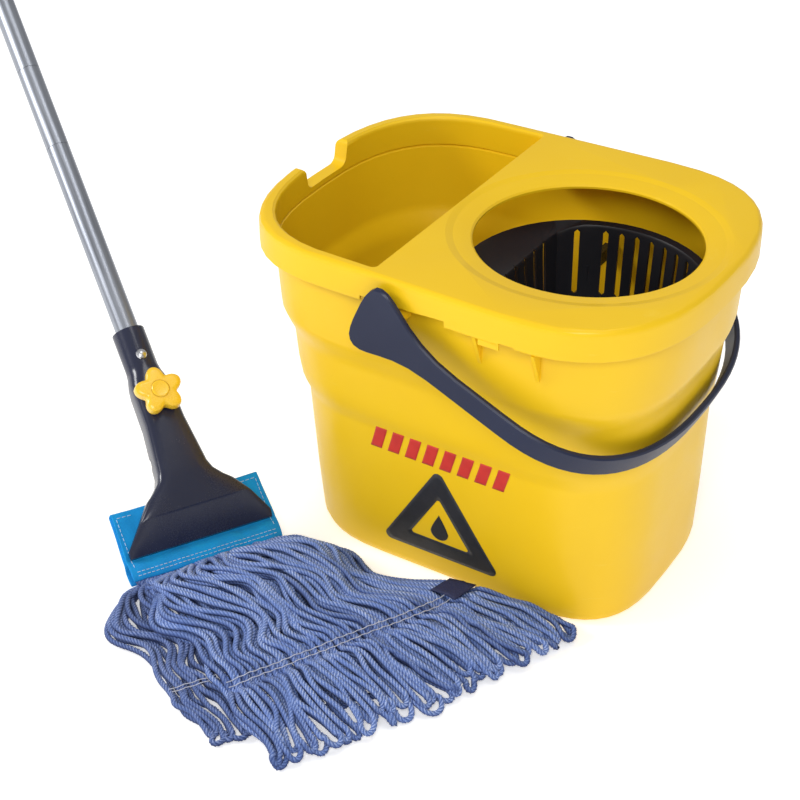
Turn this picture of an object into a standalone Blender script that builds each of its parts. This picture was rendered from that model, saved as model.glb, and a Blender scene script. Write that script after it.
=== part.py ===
"""Mop and bucket with wringer: an oblong bucket with a half deck, a wringer cup and a carrying
bail, and a looped-yarn mop whose headband is held by a screw clamp at the foot of its pole.

Metres, +Z up.  The origin is the centre of the bucket's base, on the floor.  +X points to the
wringer end of the bucket and -Y to the side that the mop lies on.
"""
import bmesh
import bpy
from math import copysign, cos, pi, radians, sin, sqrt
from mathutils import Matrix, Vector

MM = 0.001
GAP = 0.0003                # clearance between pieces that touch

# ---- bucket plan: two superellipse ends joined by straight sides ----
RIM_Z = 0.2818              # top of the rim and of the deck
LEFT_X, RIGHT_X = -0.1698, 0.1860        # ends of the rim along X
LEFT_C, RIGHT_C = (-0.0600, -0.0432), (0.0757, 0.0678)     # end centres at the rim, at the base
LEFT_B, RIGHT_B = 0.1350, 0.1385         # half widths at the two centres
LEFT_N, RIGHT_N = (2.76, 2.62), (2.61, 3.37)               # squareness at the rim, at the base
BASE_INSET = 39.7           # side inset in mm at which the plan has become the base's
END_STEPS = 22              # points round each end

# ---- tub ----
WALL, TOP_WALL, TOP_Z = 2.4, 1.7, 250    # wall thickness, and its thinner top above a height, mm
# height, then the inset from the rim's plan at the left end, right end and sides, all in mm
TUB_OUTSIDE = [
    (0.0, 46, 34, 46), (1.2, 41, 30, 42), (4, 38.3, 27.8, 39), (10, 36, 26.5, 36.8),
    (50, 33.2, 25.4, 33.4), (127, 28.6, 24.6, 28.6), (132, 27.6, 24.2, 27.8),
    (138, 25, 23.4, 25.6), (145, 23.2, 22.6, 23.6), (155, 21.8, 21.6, 22.2),
    (182, 20.2, 19.6, 19.8), (188, 19.3, 18.6, 18.6), (192.5, 17.6, 17, 17),
    (200, 14.2, 14.2, 14.2), (207, 12.2, 12.2, 12.2), (256.3, 9.3, 9.3, 9.3),
    (258.3, 6.2, 6.2, 6.2), (261, 6.2, 6.2, 6.2)]
FLOOR_Z = 4.6               # inside floor, mm

# ---- top frame: skirt, rim, inner wall and deck, one moulding snapped on the tub ----
SKIRT_Z = 0.2575
SKIRT_T, INNER_OUT, INNER_IN = 2.3, 9.1, 10.8    # skirt thickness and the inner wall's insets, mm
INNER_WALL_Z = 0.2585
CHANNEL_TOP = 0.2788
DECK_X, DECK_FLANGE = -0.0310, 0.0030
BAY_FILLET = 0.0045
OPEN_X, OPEN_Y, OPEN_R = 0.0744, -0.0030, 0.0843
DISH_R = 0.1040             # outer edge of the sloping ring round the opening
NOTCH_Y, NOTCH_Z, NOTCH_HALF, NOTCH_R = 0.0050, 0.2628, 0.0270, 0.0075
CUTOUT_X, CUTOUT_Z = (-0.038, 0.032), 0.2625     # gap in the skirt over each bail pivot
GUSSET_X = (0.055, 0.101)   # small fins under the skirt
TAB_X, TAB_DROP = (0.0590, 0.0750), 0.0042
SLIT_X, SLIT_RISE = (0.0755, 0.0870), 0.0022     # and the slit in the skirt's edge beside it

# ---- wringer cup ----
CUP_R, CUP_CHORD = 0.0885, 0.0580        # cup radius, and the flat wall's distance from its centre
FLANGE_R, FLANGE_Z = 0.0965, 0.2430
CUP_FLOOR_Z = 0.1670
CUP_T = 0.0022
CUP_STEPS = 52
SLOT_Z = (0.1820, 0.2380)
ARMS, ARM_Z = ((0.036, 0.1175), (0.112, 0.1142)), (0.1960, 0.2070)  # X and reach, then heights

# ---- bail ----
PIVOT_X, PIVOT_Z = -0.0060, 0.2530
BAIL_ANGLE = radians(24)     # how far the resting bail points below level
BAIL_A, BAIL_B, BAIL_N = 0.0990, 0.1435, 2.5     # its end's semi-axes and squareness
BAIL_C = 0.1014             # from the pivot to the end's centre
BAIL_T = 0.0050
BAIL_LOW, BAIL_HIGH = -22.5, -4.9        # edges of the plain strap about the pivot's level, mm
# the flared paddle: distance along the arm from the pivot, lower edge, upper edge, mm
PADDLE = [(-26.2, -18, 0), (-25.6, -26, 7), (-24.2, -32, 12.5), (-21.5, -36, 16.6),
          (-17.5, -38.2, 18.4), (-12, -38, 18), (-6, -35.8, 15.6), (2, -32, 11.4),
          (13, -27.4, 5.4), (26, -24, 0.2), (42, -22.6, -3.6), (60, BAIL_LOW, BAIL_HIGH)]
PIN_R, BOSS_R = 0.0034, 0.0052
BOSS_Y, PIN_IN = 0.1396, 0.1287          # boss face, and the bottom of its blind bore
PIN_OUT = 0.1438            # bottom of the blind bore in the paddle

# ---- mop: its own frame has X across the clamp, -Y out of its front and Z up the pole ----
MOP_AT = Vector((-0.1416, -0.1915, 0.0247))
MOP_HEADING = radians(59.7)              # of the clamp's width, from +X
MOP_LEAN = radians(52.5)                 # of the pole, from upright
POLE_R, POLE_T = 0.0095, 0.0010
SOCKET_R, SOCKET_TOP = 0.0133, 0.1950
BORE_Z = 0.1555
SEAM_1, SEAM_2, POLE_END = 0.3680, 0.4427, 1.1700
SPIGOT = 0.0250
GRIP_Z = (1.0400, 1.1650)
RIVET_Z, KNOB_Z = 0.1700, 0.1330
PIVOT = Vector((0, 0.0080, 0.0850))      # jaw pivot in the mop's frame
# clamp body: height, half width, front, back, squareness, all but the last in mm
CLAMP = [
    (17, 60.2, 7.4, 11.7, 8), (22.5, 60.2, 3.4, 11.7, 8), (38.6, 48, -8.6, 11.7, 7),
    (40.2, 46.8, -10.2, 11.7, 6), (46, 42.4, -11.8, 11.7, 5), (53, 36.8, -12.8, 11.7, 4.6),
    (58, 30.6, -13.4, 11.8, 4.5), (65, 24, -14, 12.2, 4.5), (72, 21.2, -14.4, 12.6, 4.4),
    (90, 19.2, -14.8, 13.4, 4.2), (112, 16.8, -15.2, 13.6, 3.8), (141, 16.4, -15.2, 13.8, 3.4),
    (148, 15.9, -14.6, 14.2, 2.7), (157, 13.8, -13.5, 13.6, 2.2), (162, 13.3, -13.3, 13.3, 2),
    (195, 13.3, -13.3, 13.3, 2)]
POCKET_X, POCKET_Y, POCKET_Z = 0.0100, 0.0012, (0.040, 0.1520)
SCREW_R, KNOB_R, NUT_R = 0.0030, 0.0202, 0.0062
FRONT_Y = -0.0152           # front of the neck where the knob sits
STRAND_END = 0.0010         # gap between the headband's hem and the yarn

PI2 = 2 * pi


# ------------------------------------------------------------------ helpers
def clear_scene():
    for ob in list(bpy.data.objects):
        bpy.data.objects.remove(ob, do_unlink=True)


def new_collection(name):
    found = bpy.data.collections.new(name)
    bpy.context.scene.collection.children.link(found)
    return found


def plastic(name, rgb, roughness, metallic=0.0):
    mat = bpy.data.materials.new(name)
    mat.use_nodes = True
    bsdf = mat.node_tree.nodes["Principled BSDF"]
    bsdf.inputs["Base Color"].default_value = (*rgb, 1)
    bsdf.inputs["Roughness"].default_value = roughness
    bsdf.inputs["Metallic"].default_value = metallic
    return mat


def add_object(name, mesh, mat=None, parent=None, matrix=None):
    """A part where mat is given, and otherwise a cutter."""
    ob = bpy.data.objects.new(name, mesh)
    if mat:
        mesh.materials.append(mat)
        PARTS.objects.link(ob)
    else:
        CUTTERS.objects.link(ob)
        ob.hide_render = True
        ob.display_type = "WIRE"
    ob.parent = parent
    if matrix is not None:
        ob.matrix_local = matrix
    return ob


def from_bmesh(name, bm, mat, parent, matrix=None, smooth=35):
    bmesh.ops.recalc_face_normals(bm, faces=bm.faces)
    mesh = bpy.data.meshes.new(name)
    bm.to_mesh(mesh)
    bm.free()
    mesh.shade_smooth()
    mesh.set_sharp_from_angle(angle=radians(smooth))
    return add_object(name, mesh, mat, parent, matrix)


def loft(name, rings, mat=None, parent=None, looped=False):
    """A skin over rings of equally many points, closed by end caps or, if looped, on itself."""
    bm = bmesh.new()
    rows = [[bm.verts.new(p) for p in ring] for ring in rings]
    if looped:
        rows.append(rows[0])
    count = len(rings[0])
    for a, b in zip(rows, rows[1:]):
        for i in range(count):
            j = (i + 1) % count
            bm.faces.new((a[i], a[j], b[j], b[i]))
    if not looped:
        bm.faces.new(list(reversed(rows[0])))
        bm.faces.new(rows[-1])
    return from_bmesh(name, bm, mat, parent)


def box(name, low, high, mat=None, parent=None, bevel=0.0):
    bm = bmesh.new()
    low, high = Vector(low), Vector(high)
    size = high - low
    bmesh.ops.create_cube(bm, size=1.0, matrix=Matrix.Translation((low + high) / 2)
                          @ Matrix.Diagonal((*size, 1)))
    ob = from_bmesh(name, bm, mat, parent)
    if bevel:
        round_edges(ob, bevel)
    return ob


def rod(name, radius, start, end, mat=None, parent=None, sides=24):
    """A plain cylinder between two points."""
    start, end = Vector(start), Vector(end)
    turn = (end - start).to_track_quat("Z", "Y").to_matrix().to_4x4()
    bm = bmesh.new()
    bmesh.ops.create_cone(bm, cap_ends=True, segments=sides, radius1=radius, radius2=radius,
                          depth=(end - start).length,
                          matrix=Matrix.Translation((start + end) / 2) @ turn)
    return from_bmesh(name, bm, mat, parent)


def turned(name, profile, mat=None, parent=None, matrix=None, steps=32, ring=False):
    """Radius and height pairs, down the outer side, spun about Z; ring joins the last to the first."""
    mesh = bpy.data.meshes.new(name)
    count = len(profile)
    edges = [(i, i + 1) for i in range(count - 1)] + ([(count - 1, 0)] if ring else [])
    mesh.from_pydata([(r, 0, z) for r, z in profile], edges, [])
    ob = add_object(name, mesh, mat, parent, matrix)
    screw = ob.modifiers.new("spin", "SCREW")
    screw.axis = "Z"
    screw.steps = screw.render_steps = steps
    screw.use_merge_vertices = True
    screw.merge_threshold = 1e-5
    screw.use_smooth_shade = True
    return ob


def prism(name, points, low, high, mat=None, parent=None, matrix=None):
    """A flat outline in XY, given thickness from low to high along Z."""
    curve = bpy.data.curves.new(name, "CURVE")
    curve.dimensions = "2D"
    curve.fill_mode = "BOTH"
    curve.extrude = (high - low) / 2
    line = curve.splines.new("POLY")
    line.points.add(len(points) - 1)
    for spot, (x, y) in zip(line.points, points):
        spot.co = (x, y, 0, 1)
    line.use_cyclic_u = True
    source = bpy.data.objects.new(name + "_outline", curve)
    bpy.context.scene.collection.objects.link(source)
    graph = bpy.context.evaluated_depsgraph_get()
    mesh = bpy.data.meshes.new_from_object(source.evaluated_get(graph))
    bpy.data.objects.remove(source, do_unlink=True)
    bm = bmesh.new()
    bm.from_mesh(mesh)
    bpy.data.meshes.remove(mesh)
    bmesh.ops.remove_doubles(bm, verts=bm.verts, dist=1e-6)
    bmesh.ops.translate(bm, verts=bm.verts, vec=(0, 0, (low + high) / 2))
    return from_bmesh(name, bm, mat, parent, matrix)


def boolean(target, tool, operation="DIFFERENCE"):
    mod = target.modifiers.new(tool.name, "BOOLEAN")
    mod.operation = operation
    mod.solver = "EXACT"
    mod.object = tool
    return target


def round_edges(ob, width, segments=2, angle=40):
    mod = ob.modifiers.new("round", "BEVEL")
    mod.width = width
    mod.segments = segments
    mod.limit_method = "ANGLE"
    mod.angle_limit = radians(angle)


def merge_cutters(name, tools):
    """One cutter made of several that stay apart from each other."""
    bm = bmesh.new()
    for tool in tools:
        tool.data.transform(tool.matrix_basis)
        bm.from_mesh(tool.data)
    parent = tools[0].parent
    for tool in tools:
        bpy.data.objects.remove(tool, do_unlink=True)
    return from_bmesh(name, bm, None, parent)


def arc(cx, cy, radius, start, end, steps):
    """Points of an arc between two angles in degrees."""
    turns = [radians(start + (end - start) * i / steps) for i in range(steps + 1)]
    return [(cx + radius * cos(a), cy + radius * sin(a)) for a in turns]


def empty(name, matrix):
    ob = bpy.data.objects.new(name, None)
    PARTS.objects.link(ob)
    ob.matrix_world = matrix
    return ob


def mix(pair, t):
    return pair[0] + (pair[1] - pair[0]) * t


def power(value, n):
    """The superellipse's signed power, exactly zero on its axes."""
    return copysign(abs(value) ** (2 / n), value) if abs(value) > 1e-9 else 0.0


# ------------------------------------------------------------------ bucket
def plan(z, left, right, side):
    """The bucket's plan at one height, inset from the rim's plan by mm at its ends and sides."""
    t = min(max(side / BASE_INSET, 0), 1)
    points = []
    for step in range(END_STEPS + 1):
        a = -pi / 2 + pi * step / END_STEPS
        x = mix(RIGHT_C, t)
        reach = RIGHT_X - right * MM - x
        wide = RIGHT_B - side * MM * 1.08
        points.append(Vector((x + reach * power(cos(a), mix(RIGHT_N, t)),
                              wide * power(sin(a), mix(RIGHT_N, t)), z)))
    for step in range(END_STEPS + 1):
        a = pi / 2 + pi * step / END_STEPS
        x = mix(LEFT_C, t)
        reach = x - LEFT_X - left * MM
        wide = LEFT_B - side * MM
        points.append(Vector((x + reach * power(cos(a), mix(LEFT_N, t)),
                              wide * power(sin(a), mix(LEFT_N, t)), z)))
    return points


def even(z, inset):
    return plan(z, inset, inset, inset)


def half_width(x):
    """Half the rim's width between its two ends."""
    t = (x - LEFT_C[0]) / (RIGHT_C[0] - LEFT_C[0])
    return mix((LEFT_B, RIGHT_B), min(max(t, 0), 1))


def build_tub(mat):
    outside = [plan(z * MM, a, b, c) for z, a, b, c in TUB_OUTSIDE]
    inner_rows = TUB_OUTSIDE[3:6] + TUB_OUTSIDE[8:12:2] + TUB_OUTSIDE[12:]
    inside = []
    for z, a, b, c in inner_rows:
        wall = TOP_WALL if z > TOP_Z else WALL
        inside.append(plan(z * MM, a + wall, b + wall, c + wall))
    _, a, b, c = TUB_OUTSIDE[3]
    floor = [plan((FLOOR_Z + rise) * MM, a + WALL + e, b + WALL + e, c + WALL + e)
             for rise, e in ((1.4, 1.8), (0.3, 4.5), (0, 9))]
    tub = loft("tub", outside + inside[::-1] + floor, mat)
    for side in (-1, 1):
        face = side * BOSS_Y
        inner = side * (PIN_IN - 0.0030)
        boss = rod(f"boss_{side}", BOSS_R, (PIVOT_X, inner, PIVOT_Z), (PIVOT_X, face, PIVOT_Z))
        boolean(tub, boss, "UNION")
        for i, x in enumerate(GUSSET_X):
            boolean(tub, gusset(f"gusset_{side}_{i}", x, side), "UNION")
        bore = rod(f"bore_{side}", PIN_R + GAP, (PIVOT_X, side * PIN_IN, PIVOT_Z),
                   (PIVOT_X, side * (BOSS_Y + 0.004), PIVOT_Z))
        boolean(tub, bore)
    return tub


def gusset(name, x, side):
    """A thin triangular fin under the skirt, running down the tub's wall."""
    wide = half_width(x)
    root, top, foot = wide - 0.0112, SKIRT_Z - 0.0006, SKIRT_Z - 0.0265
    shape = [(side * (wide - 0.0012), top), (side * root, top), (side * root, foot)]
    if side < 0:
        shape.reverse()
    turn = Matrix(((0, 0, 1, x), (1, 0, 0, 0), (0, 1, 0, 0), (0, 0, 0, 1)))
    return prism(name, shape, -0.0014, 0.0014, matrix=turn)


def bay_plan(z, inset):
    """The open half of the bucket, left of the deck, with filleted corners at the deck."""
    edge = DECK_X + (INNER_IN - inset) * MM * 0.4
    ring = even(z, inset)[END_STEPS + 1:]
    ring = [p for p in ring if p.x < LEFT_C[0] + 0.002]
    wide = half_width(edge) - inset * MM
    r = BAY_FILLET
    low = [Vector((x, y, z)) for x, y in arc(edge - r, -(wide - r), r, -90, 0, 6)]
    high = [Vector((x, y, z)) for x, y in arc(edge - r, wide - r, r, 0, 90, 6)]
    return low + high + ring


def deck_void_plan(z):
    """The space under the deck, inside the inner wall and right of the deck's flange."""
    edge = DECK_X + DECK_FLANGE
    ring = even(z, INNER_IN)[:END_STEPS + 1]
    wide = half_width(edge) - INNER_IN * MM
    return ring + [Vector((edge, wide, z)), Vector((edge, -wide, z))]


def build_top_frame(mat):
    under = SKIRT_Z - 0.02
    crown = [(SKIRT_Z, 0.5), (SKIRT_Z + 0.001, 0.0), (RIM_Z - 0.0048, 0.0), (RIM_Z - 0.0021, 0.8),
             (RIM_Z - 0.0006, 2.3), (RIM_Z, 4.0)]
    frame = loft("top_frame", [even(z, e) for z, e in crown], mat)

    channel = loft("channel", [even(under, SKIRT_T), even(CHANNEL_TOP, SKIRT_T),
                               even(CHANNEL_TOP, INNER_OUT), even(under, INNER_OUT)], looped=True)
    keep = box("notch_keep", (LEFT_X - 0.01, NOTCH_Y - NOTCH_HALF - 0.012, NOTCH_Z - 0.0014),
               (LEFT_X + 0.03, NOTCH_Y + NOTCH_HALF + 0.012, RIM_Z + 0.01))
    boolean(channel, keep)
    boolean(frame, channel)

    step = loft("inner_wall_step", [even(under, SKIRT_T + 1), even(INNER_WALL_Z, SKIRT_T + 1),
                                    even(INNER_WALL_Z, INNER_IN + 3), even(under, INNER_IN + 3)],
                looped=True)
    boolean(frame, step)

    void = loft("deck_void", [deck_void_plan(under), deck_void_plan(CHANNEL_TOP)])
    boolean(frame, void)
    lip = [(under, INNER_IN), (RIM_Z - 0.0034, INNER_IN), (RIM_Z - 0.0012, INNER_IN - 0.9),
           (RIM_Z - 0.0002, INNER_IN - 2.4), (RIM_Z + 0.002, INNER_IN - 3.4)]
    boolean(frame, loft("bay", [bay_plan(z, e) for z, e in lip]))

    place = Matrix.Translation((OPEN_X, OPEN_Y, 0))
    collar = turned("opening_collar", [(DISH_R + 0.0025, CHANNEL_TOP + 0.0006),
                                       (DISH_R + 0.0025, CHANNEL_TOP - 0.0034),
                                       (OPEN_R - 0.004, CHANNEL_TOP - 0.0034),
                                       (OPEN_R - 0.004, CHANNEL_TOP + 0.0006)],
                    matrix=place @ Matrix.Rotation(0.021, 4, "Z"), steps=58, ring=True)
    boolean(frame, collar, "UNION")
    dish = turned("opening", [(0, RIM_Z + 0.002), (DISH_R + 0.002, RIM_Z + 0.002), (DISH_R, RIM_Z),
                              (OPEN_R + 0.0014, RIM_Z - 0.0036), (OPEN_R, RIM_Z - 0.0048),
                              (OPEN_R, under), (0, under)], matrix=place, steps=72)
    boolean(frame, dish)
    boolean(frame, notch_cutter())
    for side in (-1, 1):
        boolean(frame, skirt_cutter(side))
        wide = half_width(TAB_X[0])
        ends = sorted((side * (wide - 0.0005), side * (wide - SKIRT_T * MM + 0.0004)))
        tab = box(f"tab_{side}", (TAB_X[0], ends[0], SKIRT_Z - TAB_DROP),
                  (TAB_X[1], ends[1], SKIRT_Z + 0.004))
        boolean(frame, tab, "UNION")
    return frame


def notch_cutter():
    """The dip in the rim at the left end: flat floor, round corners and flared shoulders."""
    r, h, top = NOTCH_R, NOTCH_HALF, RIM_Z - 0.0062
    shape = arc(h - r, NOTCH_Z + r, r, -90, 0, 5)
    shape += arc(h + r + 0.001, top, r, 180, 90, 5)[1:]
    shape += [(h + r + 0.001, RIM_Z + 0.01)]
    shape += [(-x, y) for x, y in reversed(shape)]
    turn = Matrix(((0, 0, 1, 0), (1, 0, 0, NOTCH_Y), (0, 1, 0, 0), (0, 0, 0, 1)))
    return prism("notch", shape, LEFT_X - 0.01, LEFT_X + 0.035, matrix=turn)


def skirt_cutter(side):
    """The shallow gap in the skirt that the bail's pivot boss sits in."""
    low, high = CUTOUT_X
    shape = [(low, SKIRT_Z - 0.01), (high, SKIRT_Z - 0.01), (high, CUTOUT_Z + 0.0005),
             (high - 0.012, CUTOUT_Z), (0.004, CUTOUT_Z - 0.001), (low, CUTOUT_Z - 0.001)]
    near, far = sorted((side * 0.129, side * 0.150))
    turn = Matrix(((1, 0, 0, 0), (0, 0, -1, 0), (0, 1, 0, 0), (0, 0, 0, 1)))
    gap = prism(f"gap_{side}", shape, -far, -near, matrix=turn)
    slit = box(f"slit_{side}", (SLIT_X[0], near, SKIRT_Z - 0.01),
               (SLIT_X[1], far, SKIRT_Z + SLIT_RISE))
    return merge_cutters(f"skirt_gaps_{side}", [gap, slit])


def cup_ring(z, offset, drop=0.0):
    """The cup's D-shaped plan, offset outwards; drop lowers the edge along the flat wall."""
    points = []
    for i in range(CUP_STEPS):
        a = PI2 * i / CUP_STEPS
        flat = CUP_CHORD / max(-cos(a), 1e-6)
        r = 1 / ((1 / CUP_R) ** 22 + (1 / flat) ** 22) ** (1 / 22) + offset
        lower = drop * max(0, min(1, (-cos(a) - 0.45) / 0.2))
        points.append(Vector((OPEN_X + r * cos(a), OPEN_Y + r * sin(a), z - lower)))
    return points


def round_ring(z, radius):
    turns = [PI2 * i / CUP_STEPS for i in range(CUP_STEPS)]
    return [Vector((OPEN_X + radius * cos(a), OPEN_Y + radius * sin(a), z)) for a in turns]


def build_wringer_cup(mat):
    top, t, slope = FLANGE_Z, CUP_T, 0.0045
    taper = -0.0040
    rings = [cup_ring(CUP_FLOOR_Z - t, taper + t - 0.004), cup_ring(CUP_FLOOR_Z, taper + t),
             cup_ring(top - 0.012, t), cup_ring(top - 0.0038, t, slope),
             round_ring(top - t, FLANGE_R - 0.0020), round_ring(top - 0.0075, FLANGE_R - 0.0018),
             round_ring(top - 0.0075, FLANGE_R), round_ring(top - 0.0012, FLANGE_R),
             round_ring(top, FLANGE_R - 0.0015),
             cup_ring(top - 0.0005, 0.0030, slope), cup_ring(top - 0.0011, 0.0010, slope),
             cup_ring(top - 0.0030, 0, slope), cup_ring(top - 0.012, 0),
             cup_ring(CUP_FLOOR_Z + 0.005, taper), cup_ring(CUP_FLOOR_Z, taper - 0.005)]
    cup = loft("wringer_cup", rings, mat)
    boolean(cup, slot_cutters())
    for i, (x, reach) in enumerate(ARMS):
        for side in (-1, 1):
            near, far = sorted((side * 0.0780 + OPEN_Y, side * reach))
            arm = box(f"arm_{i}_{side}", (x - 0.003, near, ARM_Z[0]), (x + 0.003, far, ARM_Z[1]))
            boolean(cup, arm, "UNION")
    return cup


def slot_shape(width):
    low, high = SLOT_Z
    r = width / 2
    return arc(0, low + r, r, 180, 360, 2) + arc(0, high - r, r, 0, 180, 2)


def slot_cutters():
    """Upright drain slots through the flat wall and round the curved one, and holes in the floor."""
    tools = []
    for i in range(7):
        y = OPEN_Y + (i - 3) * 0.0150
        turn = Matrix(((0, 0, 1, OPEN_X - CUP_CHORD), (1, 0, 0, y), (0, 1, 0, 0), (0, 0, 0, 1)))
        tools.append(prism(f"flat_slot_{i}", slot_shape(0.0040), -0.006, 0.008, matrix=turn))
    turns = [-121] + [(i - 13) * 8.2 for i in range(27)] + [121]
    for i, a in enumerate(radians(turn) for turn in turns):
        turn = Matrix.Translation((OPEN_X, OPEN_Y, 0)) @ Matrix.Rotation(a, 4, "Z") \
            @ Matrix(((0, 0, 1, CUP_R), (1, 0, 0, 0), (0, 1, 0, 0), (0, 0, 0, 1)))
        tools.append(prism(f"round_slot_{i}", slot_shape(0.0044), -0.012, 0.006, matrix=turn))
    for i in range(7):
        a = PI2 * i / 7
        spot = (OPEN_X + 0.004 + 0.034 * cos(a), OPEN_Y + 0.034 * sin(a))
        tools.append(rod(f"floor_hole_{i}", 0.0035, (*spot, CUP_FLOOR_Z - 0.006),
                         (*spot, CUP_FLOOR_Z + 0.006), sides=12))
    return merge_cutters("cup_slots", tools)


# ------------------------------------------------------------------ bail
def strap_section(along, across, out, low, high):
    """A chamfered rectangle: out is the strap's outward direction and low, high its two edges."""
    t, c = BAIL_T / 2, 0.0012
    shape = [(-t, low + c), (-t + c, low), (t - c, low), (t, low + c),
             (t, high - c), (t - c, high), (-t + c, high), (-t, high - c)]
    return [Vector((along + out[0] * s, across + out[1] * s, z)) for s, z in shape]


def bail_rings():
    rings = []
    for side in (-1, 1):
        arm = [strap_section(d * MM, side * BAIL_B, (0, side), low * MM, high * MM)
               for d, low, high in PADDLE]
        rings.append(arm)
    bend = []
    steps = 36
    for i in range(steps + 1):
        a = -pi / 2 + pi * i / steps
        spot = (BAIL_C + BAIL_A * power(cos(a), BAIL_N), BAIL_B * power(sin(a), BAIL_N))
        slope = (abs(cos(a)) ** (2 - 2 / BAIL_N) / BAIL_A,
                 copysign(abs(sin(a)) ** (2 - 2 / BAIL_N) / BAIL_B, sin(a)))
        size = sqrt(slope[0] ** 2 + slope[1] ** 2)
        bend.append(strap_section(*spot, (slope[0] / size, slope[1] / size),
                                  BAIL_LOW * MM, BAIL_HIGH * MM))
    return rings[0] + bend + rings[1][::-1]


def build_bail(plastic_mat, pin_mat):
    turn = Matrix.Translation((PIVOT_X, 0, PIVOT_Z)) @ Matrix.Rotation(BAIL_ANGLE, 4, "Y")
    frame = empty("bail_axis", turn)
    bail = loft("bail_handle", bail_rings(), plastic_mat, frame)
    for side, name in ((-1, "near"), (1, "far")):
        bore = rod(f"paddle_bore_{name}", PIN_R + GAP, (0, side * 0.135, 0), (0, side * PIN_OUT, 0),
                   parent=frame)
        boolean(bail, bore)
        rod(f"bail_pin_{name}", PIN_R, (0, side * (PIN_IN + GAP), 0), (0, side * (PIN_OUT - GAP), 0),
            pin_mat, frame)


# ------------------------------------------------------------------ mop
def oval(z, half, front, back, n, count=32):
    """A clamp section in the mop's frame: a superellipse between its front and its back."""
    mid, deep = (front + back) / 2, (back - front) / 2
    return [Vector((half * power(cos(PI2 * i / count), n) * MM,
                    (mid + deep * power(sin(PI2 * i / count), n)) * MM, z * MM))
            for i in range(count)]


def hexagon(radius):
    return [(radius * cos(radians(60 * i)), radius * sin(radians(60 * i))) for i in range(6)]


def front_turn(z):
    """Z out of the clamp's front, from the pole's axis at a height up the pole."""
    return Matrix(((1, 0, 0, 0), (0, 0, -1, 0), (0, 1, 0, z), (0, 0, 0, 1)))


def build_clamp_body(mat, mop):
    clamp = loft("clamp_body", [oval(*row) for row in CLAMP], mat, mop)
    low, high = POCKET_Z
    tools = [
        rod("socket_bore", POLE_R + GAP, (0, 0, BORE_Z), (0, 0, SOCKET_TOP + 0.01), parent=mop,
            sides=32),
        box("lever_pocket", (-POCKET_X, POCKET_Y, low), (POCKET_X, 0.04, high), parent=mop),
    ]
    for tool in tools:
        boolean(clamp, tool)
    nut = prism("nut_pocket", hexagon(NUT_R + GAP), -POCKET_Y - 0.001, 0.0085, parent=mop,
                matrix=front_turn(KNOB_Z))
    boolean(clamp, nut)
    boolean(clamp, rod("screw_hole", SCREW_R + GAP, (0, 0.01, KNOB_Z), (0, -0.03, KNOB_Z), parent=mop))
    boolean(clamp, rod("rivet_hole", 0.0022 + GAP, (0, -0.02, RIVET_Z), (0, 0.02, RIVET_Z), parent=mop))
    boolean(clamp, rod("pivot_hole", 0.0025 + GAP, (-0.03, *PIVOT.yz), (0.03, *PIVOT.yz), parent=mop))
    recess = [rod(f"pivot_recess_{s}", 0.0052, (s * 0.0150, *PIVOT.yz), (s * 0.03, *PIVOT.yz),
                  parent=mop) for s in (-1, 1)]
    boolean(clamp, merge_cutters("pivot_recesses", recess))
    return clamp


def build_rear_jaw(mat, mop):
    """A lever behind the clamp: a wide jaw plate below its pivot and a narrow tail above it."""
    plate = [(17, 58, 20.3, 25), (22, 59.5, 20.3, 25.6), (36, 49, 20.3, 26.4), (50, 38, 20.3, 26.6),
             (58, 30, 20.3, 26.4), (65, 18, 17.8, 25), (72, 9.4, 13.8, 21.2),
             (85, 9.4, 4.6, 16.4), (96, 9.4, 8.8, 15.2), (146, 9.4, 9, 14.2)]
    jaw = loft("rear_jaw", [oval(z, half, front, back, 9, 28) for z, half, front, back in plate],
               mat, mop)
    boolean(jaw, rod("jaw_bore", 0.0025 + GAP, (-0.03, *PIVOT.yz), (0.03, *PIVOT.yz), parent=mop))
    return jaw


def build_clamp_fasteners(steel, mop):
    y, z = PIVOT.yz
    head = Matrix.Translation((0, y, z)) @ Matrix.Rotation(-pi / 2, 4, "Y")
    turned("jaw_pivot_screw", [(0, 0.0176), (0.0030, 0.0172), (0.0047, 0.0153), (0.0025, 0.0153),
                               (0.0025, -0.0196), (0, -0.0196)], steel, mop, head, 24)
    nut = prism("jaw_pivot_nut", hexagon(0.0048), -0.0176, -0.0153, steel, mop, head)
    boolean(nut, rod("pivot_nut_bore", 0.0025 + GAP, (-0.01, y, z), (0.03, y, z), parent=mop))
    r = SOCKET_R + GAP
    turned("socket_rivet", [(0, r + 0.0024), (0.0022, r + 0.0021), (0.0038, r + 0.0011),
                            (0.0044, r), (0.0022, r), (0.0022, -r), (0.0044, -r),
                            (0.0038, -r - 0.0011), (0.0022, -r - 0.0021), (0, -r - 0.0024)],
           steel, mop, front_turn(RIVET_Z), 24)
    nut = prism("captive_nut", hexagon(NUT_R), 0.0030, 0.0082, steel, mop, front_turn(KNOB_Z))
    boolean(nut, rod("captive_nut_bore", SCREW_R + GAP, (0, 0.01, KNOB_Z), (0, -0.02, KNOB_Z),
                     parent=mop))


def star_radius(a):
    """The knob's five rounded lobes, with hollow flanks between them."""
    return KNOB_R * (0.845 + 0.150 * cos(5 * a) - 0.020 * cos(10 * a) + 0.005 * cos(15 * a))


def star_ring(height, shrink):
    count = 60
    return [Vector(((star_radius(PI2 * i / count) - shrink) * sin(PI2 * i / count),
                    (star_radius(PI2 * i / count) - shrink) * cos(PI2 * i / count), height))
            for i in range(count)]


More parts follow.
